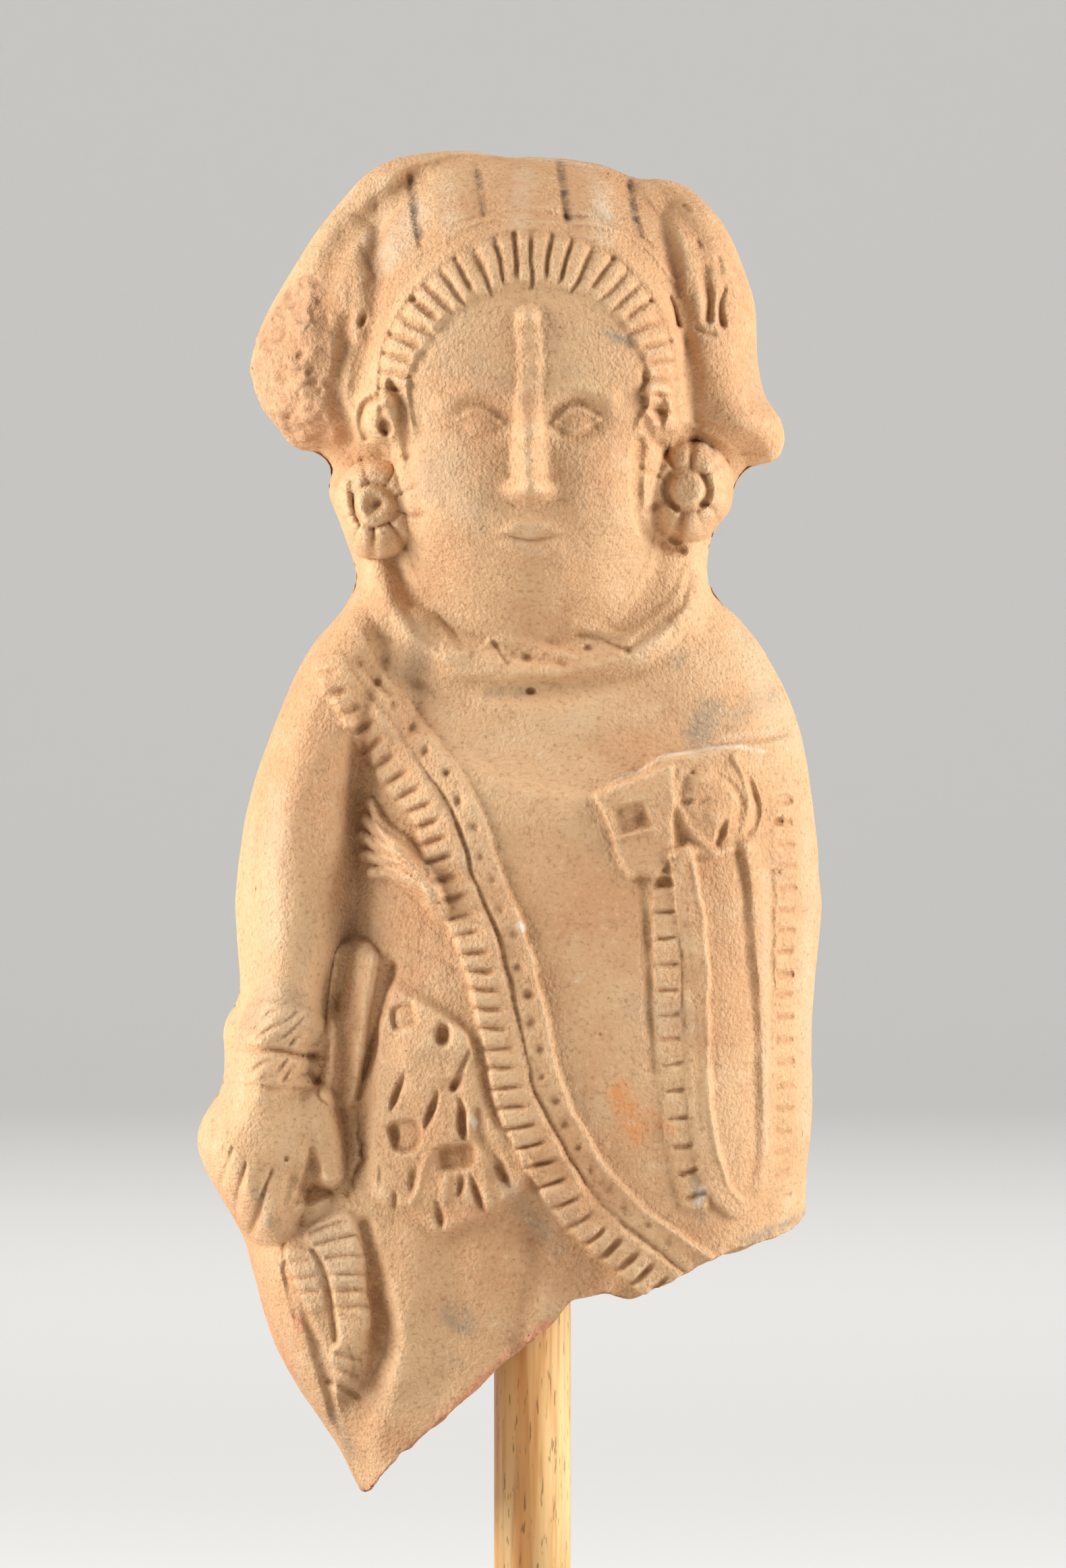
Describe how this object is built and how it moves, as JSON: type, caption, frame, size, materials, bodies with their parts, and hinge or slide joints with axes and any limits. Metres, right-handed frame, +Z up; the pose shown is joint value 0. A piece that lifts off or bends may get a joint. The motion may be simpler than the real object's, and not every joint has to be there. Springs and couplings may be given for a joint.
{
  "type": "jaina figurine",
  "caption": "Mould-made terracotta figurine fragment of a dressed standing figure, hollow and open along its lower break, held up on a round wooden rod in a block foot.",
  "frame": {"origin": "centre of the foot's underside, which the piece stands on, with the rod's axis rising from it", "axes": "+Z up along the rod, the figure faces -Y, and +X is to the viewer's right"},
  "size_m": [0.09, 0.07, 0.2016],
  "materials": {
    "terracotta": "unglazed fired clay, matt and sandy, with soil in the recesses",
    "rod_wood": "turned hardwood rod, open pores, thin satin finish",
    "foot_wood": "dark stained hardwood, satin"
  },
  "bodies": {
    "root": {"figurine": "terracotta", "support_rod": "rod_wood", "stand_foot": "foot_wood"}
  },
  "joints": []
}
